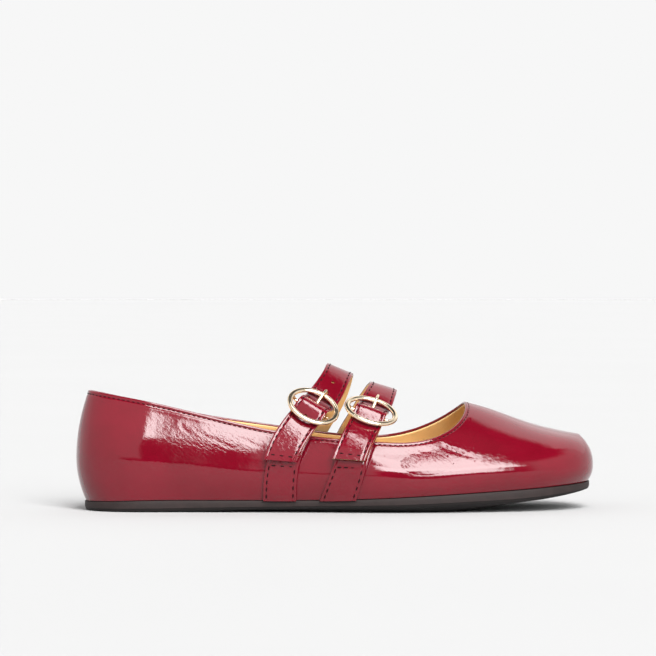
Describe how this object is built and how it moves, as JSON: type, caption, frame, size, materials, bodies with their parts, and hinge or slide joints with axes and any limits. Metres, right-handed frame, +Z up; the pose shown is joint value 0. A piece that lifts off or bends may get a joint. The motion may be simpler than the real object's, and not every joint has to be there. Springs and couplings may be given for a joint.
{
  "type": "mary jane shoe",
  "caption": "Flat mary jane shoe for the right foot with a soft square toe, low topline and buckled straps over the instep.",
  "frame": {"origin": "on the floor under the middle of the shoe's box", "axes": "+X towards the toe, +Y towards the inner side of the foot, +Z up"},
  "size_m": [0.252, 0.0886, 0.0707],
  "materials": {
    "patent": "crinkled dark red patent leather, high gloss",
    "lining": "tan leather, matt",
    "sole": "dark brown rubber, matt",
    "buckle": "polished pale gold"
  },
  "bodies": {
    "root": {"outsole": "sole", "insole": "lining", "upper": "patent", "rear_strap": "patent", "rear_chape": "patent", "rear_buckle": "buckle", "rear_prong": "buckle", "front_strap": "patent", "front_chape": "patent", "front_buckle": "buckle", "front_prong": "buckle"}
  },
  "joints": []
}
